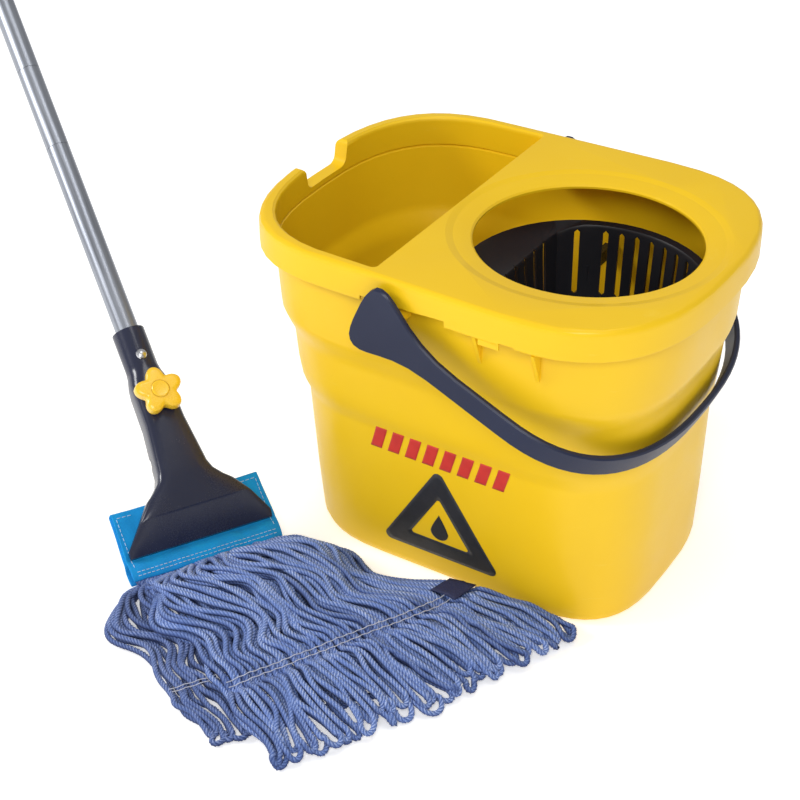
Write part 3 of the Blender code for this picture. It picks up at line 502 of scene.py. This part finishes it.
def fringe_sway(s, t):
    """The tails curl a little beyond the stitching."""
    return (np.sin(2 * pi * (2.4 * t + 3.3 * s)) * 0.0030
            + np.sin(2 * pi * (1.3 * t - 6.1 * s)) * 0.0022) * window(t, SEW_T, 1.25, 0.12)


def crown(s, t, heights, edges):
    """Height of a layer's strands: a mound across, lower at both sides."""
    middle = smooth_wave(np.array(heights), t)
    side = smooth_wave(np.array(edges), t)
    return side + (middle - side) * (1 - np.abs(2 * s - 1) ** 3.0)


def layer_line(left, right, s, t, bulge=0.0):
    """World x, y of the line at s across and t along a layer."""
    a, b = spline(left, t), spline(right, t)
    across = b - a
    width = np.linalg.norm(across, axis=1)[:, None]
    ahead = np.stack([across[:, 1], -across[:, 0]], 1) / width
    spot = a + across * s
    swell = bulge * np.clip((t - SEW_T) / (1 - SEW_T), 0, 1) * (1 - np.abs(2 * s - 0.75) ** 2)
    return spot + ahead * swell[:, None], across / width, width[:, 0]


def hem_point(s, y, z):
    """A point under the headband's hem, in the row frame."""
    return np.array(MOP @ Vector((-0.0590 + 0.118 * s, y, z)))


def seam_t(s):
    """Where along the strand at s across the tail stitching lies."""
    return SEW_T + 0.048 * sin(pi * s) + 0.008 * sin(2 * pi * 1.4 * s + 0.6)


def strand_path(spec, s, index, count, reach, shared, splay):
    """Points of one strand from inside the hem to its tip, sinking under its neighbours where
    they crowd. shared is the wander of its bunch, splay how far its tail fans sideways."""
    t = np.linspace(0.045, reach, STATIONS)
    swayed = spec["sway"] * sway(np.full_like(t, s), t) + fringe_sway(np.full_like(t, s), t)
    own = smooth_wave(RNG.normal(0, spec["wander"], 13), t) * window(t, 0.0, 1.4, 0.1)
    own += smooth_wave(shared, t) * window(t, 0.03, SEW_T, 0.10)
    own += splay * np.clip((t - SEW_T) / (1 - SEW_T), 0, 1) ** 1.5
    xy, across, width = layer_line(spec["left"], spec["right"], s, t, spec["bulge"])
    xy = xy + across * (swayed + own)[:, None]
    slope = np.gradient(swayed, t) / 0.24
    pitch = width / count / np.sqrt(1 + slope**2)
    sink = np.sqrt(np.clip((2 * STRAND_R) ** 2 - pitch**2, 0, None)) * 0.9
    z = crown(np.full_like(t, s), t, spec["heights"], spec["edges"])
    z = z - (sink if index % 2 else 0.0) + smooth_wave(RNG.normal(0, 0.0007, 10), t)
    z = z + spec["lean"] * s**7 * np.exp(-((t - SEW_T - 0.03) / 0.10) ** 2)
    pinch = np.exp(-((t - seam_t(s)) / 0.026) ** 2) * spec["pinch"]
    z = np.maximum(z - pinch, STRAND_R + 0.0006)
    body = np.column_stack([xy, z])
    root = [hem_point(s, spec["root"], 0.0035), hem_point(s, spec["root"], -0.0025)]
    return np.vstack([root, body])


def turn_round(out, back, drop):
    """Joins the end of one strand to the end of another through a soft loop."""
    a, b = out[-1], back[-1]
    ahead = out[-1] - out[-4]
    ahead = ahead / np.linalg.norm(ahead)
    gap = np.linalg.norm(a - b)
    reach = max(gap * 0.55, 0.004)
    points = []
    for angle in np.linspace(0, pi, 7)[1:-1]:
        mid = (a + b) / 2 + (a - b) / 2 * cos(angle)
        mid = mid + ahead * reach * sin(angle)
        mid[2] = max(mid[2] - drop * sin(angle), STRAND_R + 0.0006)
        points.append(mid)
    return np.vstack([out, points, back[::-1]])


def yarn_layer(spec):
    """All the loops of one layer, in as many meshes as keep each one light."""
    count = spec["count"]
    spots = (np.arange(count) + 0.5) / count
    spots = spots + np.sin(spots * 47.0) * 0.10 / count
    over, sewn = [], []
    shared, splay, reach = None, 0.0, 1.0
    next_bunch = 0
    for i, s in enumerate(spots):
        if i == next_bunch:
            shared = RNG.normal(0, spec["bunch"], 9)
            next_bunch += int(RNG.integers(3, 6))
        if i % 2 == 0:
            splay, reach = RNG.normal(0, 0.0032), 1.0 + RNG.uniform(-0.065, 0.035)
        over.append(strand_path(spec, s, i, count, reach + RNG.uniform(-0.008, 0.008), shared,
                                splay + (0.0012 if i % 2 else -0.0012)))
    groups = [[] for _ in range(spec["meshes"])]
    i, loop = 0, 0
    while i < count:
        partner = i + 1 if i + 1 < count else None
        path = over[i] if partner is None else turn_round(over[i], over[partner], 0.004)
        groups[loop * spec["meshes"] // ((count + 1) // 2)].append(path)
        i, loop = i + 2, loop + 1
    made = []
    for k, paths in enumerate(groups):
        bundle = Bundle()
        for path in paths:
            line = strand(bundle, path, STRAND_R * RNG.uniform(0.94, 1.05), RNG.uniform(0, 1),
                          spec["ring"], RNG.uniform(0, 2 * pi), TWIST * RNG.uniform(0.93, 1.08))
        made.append(bundle.made(f"{spec['name']}_{k + 1}", spec["mat"]))
    return made, over


def seam_points(spec, over, offset):
    """The sewing thread's way over the strands: up on each and a little down between them."""
    line = []
    for i in range(0, len(over), 2):
        body = over[i][2:]
        s = (i + 0.5) / len(over)
        t_seam = np.array([seam_t(s) + offset])
        xy, _, _ = layer_line(spec["left"], spec["right"], s, t_seam, spec["bulge"])
        near = body[np.linalg.norm(body[:, :2] - xy[0], axis=1) < 0.012]
        top = near[:, 2].max() if len(near) else body[:, 2].mean()
        line.append((*xy[0], top + STRAND_R))
    line = np.array(line)
    smooth = line.copy()
    smooth[1:-1, 2] = line[:-2, 2] * 0.3 + line[1:-1, 2] * 0.4 + line[2:, 2] * 0.3
    points = [smooth[0]]
    for a, b in zip(smooth[:-1], smooth[1:]):
        mid = (a + b) / 2
        mid[2] -= 0.0007
        points += [mid, b]
    return np.array(points)


def tail_tape(spec, over, first, last):
    """A short dark tape sewn over the tails of the strands nearest the bucket."""
    rows = np.array([seam_points(spec, over, offset)[2 * first:2 * last + 1]
                     for offset in np.linspace(-0.050, 0.024, 9)])
    high = rows[:, :, 2].copy()
    for _ in range(2):
        padded = np.pad(high, 1, mode="edge")
        high = np.max([padded[1:-1, 1:-1], padded[:-2, 1:-1], padded[2:, 1:-1],
                       padded[1:-1, :-2], padded[1:-1, 2:]], axis=0)
    rows[:, :, 2] = high + 0.0009
    n = rows.shape[1]
    top = [tuple(v) for row in rows for v in row]
    low = [(x, y, z - 0.0008) for x, y, z in top]
    faces = []
    total = len(top)
    for r in range(len(rows) - 1):
        for c in range(n - 1):
            a = r * n + c
            faces.append((a, a + 1, a + n + 1, a + n))
            faces.append((total + a, total + a + n, total + a + n + 1, total + a + 1))
    rim = ([c for c in range(n)] + [r * n + n - 1 for r in range(1, len(rows))]
           + [(len(rows) - 1) * n + c for c in range(n - 2, -1, -1)]
           + [r * n for r in range(len(rows) - 2, 0, -1)])
    for a, b in zip(rim, rim[1:] + rim[:1]):
        faces.append((a, total + a, total + b, b))
    return top + low, faces


def tube(path, radius, sides, step):
    """Verts and faces of a plain round thread."""
    path = resampled(path, step)
    _, side, up = frames_along(path)
    a = np.arange(sides) * 2 * pi / sides
    rings = (path[:, None, :] + side[:, None, :] * (np.cos(a) * radius)[None, :, None]
             + up[:, None, :] * (np.sin(a) * radius)[None, :, None])
    n = len(path)
    verts = rings.reshape(-1, 3).tolist()
    faces = []
    for i in range(n - 1):
        for j in range(sides):
            k = (j + 1) % sides
            faces.append((i * sides + j, i * sides + k, (i + 1) * sides + k, (i + 1) * sides + j))
    faces.append(tuple(range(sides))[::-1])
    faces.append(tuple((n - 1) * sides + j for j in range(sides)))
    return verts, faces


def joined(name, parts, mat):
    verts, faces = [], []
    for v, f in parts:
        base = len(verts)
        verts += v
        faces += [tuple(i + base for i in face) for face in f]
    return new_mesh(name, verts, faces, mat)


def build_yarn():
    top_mat = yarn_material("denim_top", (0.022, 0.040, 0.150), (0.160, 0.260, 0.620),
                            (0.70, 0.80, 1.00))
    # The lower layers use a darker copy of the same yarn: painted shade for their place under the upper
    # layers
    shaded_low_mat = yarn_material("denim_under_shaded", (0.014, 0.024, 0.095), (0.105, 0.170, 0.420),
                            (0.48, 0.56, 0.84))
    white = thread_material("white_thread", (0.66, 0.68, 0.76), (0.42, 0.44, 0.54))
    common = {"wander": 0.0017, "bunch": 0.0028, "bulge": 0.010, "lean": 0.0}
    layers = [
        dict(common, name="yarn_top", mat=top_mat, left=TOP_LEFT, right=TOP_RIGHT, count=50,
             heights=[0.012, 0.0270, 0.0335, 0.0320, 0.0270, 0.0220, 0.0120],
             edges=[0.010, 0.0150, 0.0170, 0.0165, 0.0160, 0.0140, 0.0090],
             root=0.0130, sway=1.0, pinch=0.0065, ring=RING, meshes=3, lean=0.0090),
        dict(common, name="yarn_mid", mat=top_mat, left=TOP_LEFT, right=TOP_RIGHT, count=44,
             heights=[0.010, 0.0200, 0.0250, 0.0240, 0.0205, 0.0160, 0.0080],
             edges=[0.008, 0.0115, 0.0120, 0.0120, 0.0115, 0.0095, 0.0060],
             root=0.0150, sway=0.85, pinch=0.0030, ring=0.0018, meshes=2),
        dict(common, name="yarn_low", mat=shaded_low_mat, left=LOW_LEFT, right=LOW_RIGHT, count=46,
             heights=[0.008, 0.0130, 0.0150, 0.0150, 0.0130, 0.0100, 0.0050],
             edges=[0.006, 0.0085, 0.0085, 0.0080, 0.0080, 0.0070, 0.0036],
             root=0.0190, sway=0.9, pinch=0.0020, ring=RING, meshes=2),
        dict(common, name="yarn_floor", mat=shaded_low_mat, left=LOW_LEFT, right=LOW_RIGHT, count=36,
             heights=[0.006, 0.0070, 0.0080, 0.0080, 0.0070, 0.0050, 0.0034],
             edges=[0.004, 0.0036, 0.0036, 0.0036, 0.0036, 0.0036, 0.0034],
             root=0.0210, sway=0.5, pinch=0.0010, ring=0.0020, meshes=1),
    ]
    stands_for = {"yarn_top": "yarn_upper", "yarn_mid": "yarn_upper",
                  "yarn_low": "yarn_lower", "yarn_floor": "yarn_lower"}
    for spec in layers:
        made, over = yarn_layer(spec)
        for piece in made:
            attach(piece, "mop_head")
            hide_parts(stands_for[spec["name"]])
        if spec["name"] in ("yarn_top", "yarn_low"):
            rows = [tube(seam_points(spec, over, off), 0.00032, 6, 0.0012)
                    for off in (-0.009, 0.009)]
            seam = joined(f"{spec['name']}_seam", rows, white)
            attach(seam, "mop_head")
        if spec["name"] == "yarn_top":
            navy = thread_material("tape_cloth", (0.020, 0.030, 0.110), (0.010, 0.014, 0.055))
            strands = len(over) // 2
            tape = joined("tail_tape", [tail_tape(spec, over, strands - 4, strands - 1)], navy)
            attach(tape, "mop_head")


# ------------------------------------------------------------------ headband
BAND_HALF = 0.0630          # half the headband's width
BAND_T = 0.0011             # cloth thickness


def band_front(z):
    """Middle of the front layer, in the mop's frame: bulged over the yarn at the hem."""
    rows = [(-0.001, 0.0112), (0.004, 0.0100), (0.011, 0.0102), (0.0155, 0.0130),
            (0.052, 0.0130), (0.057, 0.0145)]
    return float(np.interp(z, [r[0] for r in rows], [r[1] for r in rows]))


def band_back(z):
    rows = [(-0.001, 0.0228), (0.004, 0.0240), (0.011, 0.0238), (0.0155, 0.0190),
            (0.052, 0.0190), (0.057, 0.0175)]
    return float(np.interp(z, [r[0] for r in rows], [r[1] for r in rows]))


def band_profile():
    """(y, z) along the cloth: hem turned in, up the front, over the fold and down the back."""
    points = [(band_front(0.009) + 0.0013, 0.0090), (band_front(0.004) + 0.0014, 0.0040),
              (band_front(0.0) + 0.0010, 0.0002)]
    for z in np.linspace(-0.0006, 0.0545, 23):
        points.append((band_front(z), z))
    for a in np.linspace(20, 160, 6):
        points.append((0.0160 - 0.0026 * cos(radians(a)), 0.0550 + 0.0022 * sin(radians(a))))
    for z in np.linspace(0.0545, -0.0006, 23):
        points.append((band_back(z), z))
    points += [(band_back(0.0) - 0.0010, 0.0002), (band_back(0.004) - 0.0014, 0.0040),
               (band_back(0.009) - 0.0013, 0.0090)]
    return points


def puckers(x, z, face):
    """Small waves of the cloth where it isn't held by the jaws."""
    free = 1.0 if z < 0.0145 else max(0.0, min(1.0, (abs(x) - 0.0605 + (z - 0.017) * 0.85) / 0.004))
    wave = sin(x * 410 + face * 1.3) * 0.00022 + sin(x * 173 + 2.0 * face) * 0.00038
    flare = max(0.0, abs(x) - 0.050) ** 2 * 14.0 * (1 if z > 0.012 else 0.35)
    return free * (wave - flare * (1.0 if face > 0 else 0.5))


def build_headband():
    profile = band_profile()
    columns = 64
    verts, faces = [], []
    rows = len(profile)
    for r, (y, z) in enumerate(profile):
        face = 1 if r < rows // 2 else -1
        for c in range(columns + 1):
            x = BAND_HALF * (2 * c / columns - 1)
            sag = sin((c / columns) * pi * 6.0 + r * 0.03) * 0.00025 if z < 0.012 else 0.0
            bow = 0.0012 * (1 - abs(x / BAND_HALF) ** 6) if z < 0.013 else 0.0
            shift = puckers(x, z, face)
            spot = Vector((x * (1 + 0.010 * sin(z * 95)), y + face * (shift - bow), z + sag))
            verts.append(MOP @ spot)
    for r in range(rows - 1):
        for c in range(columns):
            a = r * (columns + 1) + c
            faces.append((a, a + 1, a + columns + 2, a + columns + 1))
    cloth = new_mesh("headband_cloth", verts, faces, headband_material())
    thick = cloth.modifiers.new("thickness", "SOLIDIFY")
    thick.thickness, thick.offset = BAND_T, 0.0
    rounded = cloth.modifiers.new("rounding", "SUBSURF")
    rounded.levels = rounded.render_levels = 1
    for modifier in (thick, rounded):
        with bpy.context.temp_override(object=cloth, active_object=cloth):
            bpy.ops.object.modifier_apply(modifier=modifier.name)
    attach(cloth, "mop_head")
    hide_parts("headband")
    stitches = build_stitches(cloth)
    return cloth


def build_stitches(cloth):
    """White dashes sewn through the front and back layers: two rows over the hem, one up each side."""
    tree = BVHTree.FromPolygons([v.co for v in cloth.data.vertices],
                                [tuple(p.vertices) for p in cloth.data.polygons])
    runs = []
    for z in (0.0032, 0.0062):
        runs.append([(-0.0590, z), (0.0590, z)])
    for x in (-0.0592, 0.0592):
        runs.append([(x, 0.0100), (x, 0.0520)])
    runs.append([(-0.0592, 0.0525), (-0.0460, 0.0525)])
    runs.append([(0.0460, 0.0525), (0.0592, 0.0525)])
    dashes = []
    out = (MOP.to_3x3() @ Vector((0, 1, 0))).normalized()
    for face in (1, -1):
        for (x0, z0), (x1, z1) in runs:
            span = sqrt((x1 - x0) ** 2 + (z1 - z0) ** 2)
            count = int(span / 0.0036)
            for k in range(count):
                line = []
                for u in np.linspace(k + 0.16, k + 0.84, 5) / count:
                    spot = Vector((x0 + (x1 - x0) * u, -0.05 if face > 0 else 0.08, z0 + (z1 - z0) * u))
                    hit = tree.ray_cast(MOP @ spot, out * face, 0.2)[0]
                    if hit is None:
                        break
                    lift = 0.00012 - 0.0003 * abs(2 * (u * count - k) - 1) ** 4
                    line.append(np.array(hit - out * face * lift))
                if len(line) == 5:
                    dashes.append(tube(np.array(line), 0.00025, 6, 0.0006))
    white = thread_material("band_thread", (0.72, 0.80, 0.90), (0.45, 0.60, 0.76))
    stitches = joined("headband_stitches", dashes, white)
    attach(stitches, "mop_head")
    return stitches


# ------------------------------------------------------------------ generic marks on the near wall
def on_wall(tree, x, z, lift):
    """The point on the tub's near wall at that x and z, stood off by lift."""
    hit, normal, _, _ = tree.ray_cast(Vector((x, -0.30, z)), Vector((0, 1, 0)), 0.6)
    return hit + normal * lift


def patch_mesh(tree, rows):
    """Verts and faces of a closed thin sheet over a grid of (x, z) points."""
    height, width = len(rows), len(rows[0])
    verts = [on_wall(tree, x, z, lift) for lift in (PRINT_OUT, PRINT_IN) for row in rows
             for x, z in row]
    n = height * width
    faces = []
    for i in range(height - 1):
        for j in range(width - 1):
            a = i * width + j
            faces.append((a, a + 1, a + width + 1, a + width))
            faces.append((n + a, n + a + width, n + a + width + 1, n + a + 1))
    rim = ([i for i in range(width)] + [i * width + width - 1 for i in range(1, height)]
           + [(height - 1) * width + j for j in range(width - 2, -1, -1)]
           + [i * width for i in range(height - 2, 0, -1)])
    for a, b in zip(rim, rim[1:] + rim[:1]):
        faces.append((a, n + a, n + b, b))
    return verts, faces


def stripe_rows(x, width, z0, z1, slant):
    """One slanted block of a hazard band."""
    return [[(x + slant * (z - z0) + width * u, z) for u in np.linspace(0, 1, 7)]
            for z in np.linspace(z0, z1, 11)]


def rounded_triangle(corners, inset, radius):
    """Outline of a triangle drawn in by inset, with rounded corners, its sides in short steps."""
    ring = []
    for i in range(3):
        here, last, after = (np.array(corners[(i + d) % 3]) for d in (0, -1, 1))
        u, v = last - here, after - here
        u, v = u / np.linalg.norm(u), v / np.linalg.norm(v)
        inward = (u + v) / np.linalg.norm(u + v)
        half = np.arccos(np.clip(np.dot(u, v), -1, 1)) / 2
        middle = here + inward * (inset + radius) / sin(half)
        across = np.array([-inward[1], inward[0]])
        for w in np.linspace(1, -1, CORNER_STEPS):
            turn = w * (pi / 2 - half)
            ring.append(middle + radius * (across * sin(turn) - inward * cos(turn)))
    dense = []
    for k, (p, q) in enumerate(zip(ring, ring[1:] + ring[:1])):
        steps = SIDE_STEPS if k % CORNER_STEPS == CORNER_STEPS - 1 else 1
        dense += [p + (q - p) * j / steps for j in range(steps)]
    return dense


def frame_patch(tree, corners, width, radius):
    """A closed triangular frame with rounded corners, laid on the wall."""
    rings = [rounded_triangle(corners, width * share, radius * (1 - 0.6 * share))
             for share in np.linspace(0, 1, 6)]
    n = len(rings[0])
    verts = [on_wall(tree, x, z, lift) for lift in (PRINT_OUT, PRINT_IN) for ring in rings
             for x, z in ring]
    total = n * len(rings)
    faces = []
    for k in range(len(rings) - 1):
        for j in range(n):
            q = (j + 1) % n
            faces.append((k * n + j, k * n + q, (k + 1) * n + q, (k + 1) * n + j))
            faces.append((total + k * n + j, total + (k + 1) * n + j,
                          total + (k + 1) * n + q, total + k * n + q))
    last = (len(rings) - 1) * n
    for j in range(n):
        q = (j + 1) % n
        faces.append((j, total + j, total + q, q))
        faces.append((last + j, last + q, total + last + q, total + last + j))
    return verts, faces


def drop_rows(cx, cz, radius, tall):
    """A water drop: round below and drawn to a point above."""
    rows = []
    for v in np.linspace(0.0, 1.0, 33):
        if v < 0.5:
            half = radius * sin(pi * v)
            z = cz - radius * cos(pi * v)
        else:
            w = (v - 0.5) * 2
            half = radius * (1 - w) ** 1.15 * (1 + 0.55 * w)
            z = cz + tall * w
        half = max(half, 0.00008)
        rows.append([(cx + half * u, z) for u in np.linspace(-1, 1, 17)])
    return rows


def build_marks():
    tub = NODES["tub"].data
    tree = BVHTree.FromPolygons([v.co for v in tub.vertices], [tuple(p.vertices) for p in tub.polygons])
    red = printed("red_print", (0.62, 0.035, 0.022), (0.54, 0.028, 0.020))
    dark = printed("dark_print", (0.022, 0.022, 0.026), (0.014, 0.014, 0.017))
    stripes = [patch_mesh(tree, stripe_rows(STRIPE_X + STRIPE_STEP * k, STRIPE_WIDTH, *STRIPE_Z,
                                            STRIPE_SLANT)) for k in range(STRIPES)]
    band = joined("red_stripes", stripes, red)
    sign = joined("dark_triangle", [frame_patch(tree, SIGN_CORNERS, SIGN_WIDTH, SIGN_RADIUS),
                                    patch_mesh(tree, drop_rows(*DROP))], dark)
    for piece in (band, sign):
        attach(piece, "bucket")


# ------------------------------------------------------------------ stage
def area_light(name, at, aim, size, power):
    light = bpy.data.lights.new(name, "AREA")
    light.shape, light.size, light.energy = "DISK", size, power
    lamp = bpy.data.objects.new(name, light)
    bpy.context.scene.collection.objects.link(lamp)
    lamp.location = at
    lamp.rotation_mode = "QUATERNION"
    lamp.rotation_quaternion = (Vector(aim) - Vector(at)).to_track_quat("-Z", "Y")


def build_stage():
    scene = bpy.context.scene
    corners = [(-FLOOR_HALF, -FLOOR_HALF, 0), (FLOOR_HALF, -FLOOR_HALF, 0),
               (FLOOR_HALF, FLOOR_HALF, 0), (-FLOOR_HALF, FLOOR_HALF, 0)]
    floor = new_mesh("floor", corners, [(0, 1, 2, 3)], floor_material(), smooth=False)
    floor.location.z = FLOOR_Z
    world = bpy.data.worlds.new("studio")
    scene.world = world
    world.use_nodes = True
    sky = world.node_tree.nodes["Background"]
    sky.inputs["Color"].default_value = (1.0, 1.0, 1.0, 1)
    sky.inputs["Strength"].default_value = SKY
    area_light("key", (-2.2, -1.5, 1.6), (-0.05, -0.05, 0.12), 0.9, 34)
    area_light("front", (0.80, -1.70, 1.75), (0.0, 0.0, 0.12), 0.8, 21)
    area_light("top", (0.20, 0.10, 2.3), (0.0, 0.0, 0.15), 0.9, 7)
    scene.view_settings.view_transform = "Standard"
    camera = bpy.data.cameras.new("camera")
    camera.lens, camera.sensor_width = CAM_LENS, 36.0
    camera.clip_start, camera.clip_end = 0.05, 200.0
    eye = bpy.data.objects.new("camera", camera)
    scene.collection.objects.link(eye)
    eye.location = CAM_TARGET + CAM_BACK * CAM_DISTANCE
    eye.rotation_mode = "QUATERNION"
    eye.rotation_quaternion = CAM_BACK.to_track_quat("Z", "Y")
    scene.camera = eye


build_stage()
paint_frame()
build_yarn()
build_headband()
build_marks()
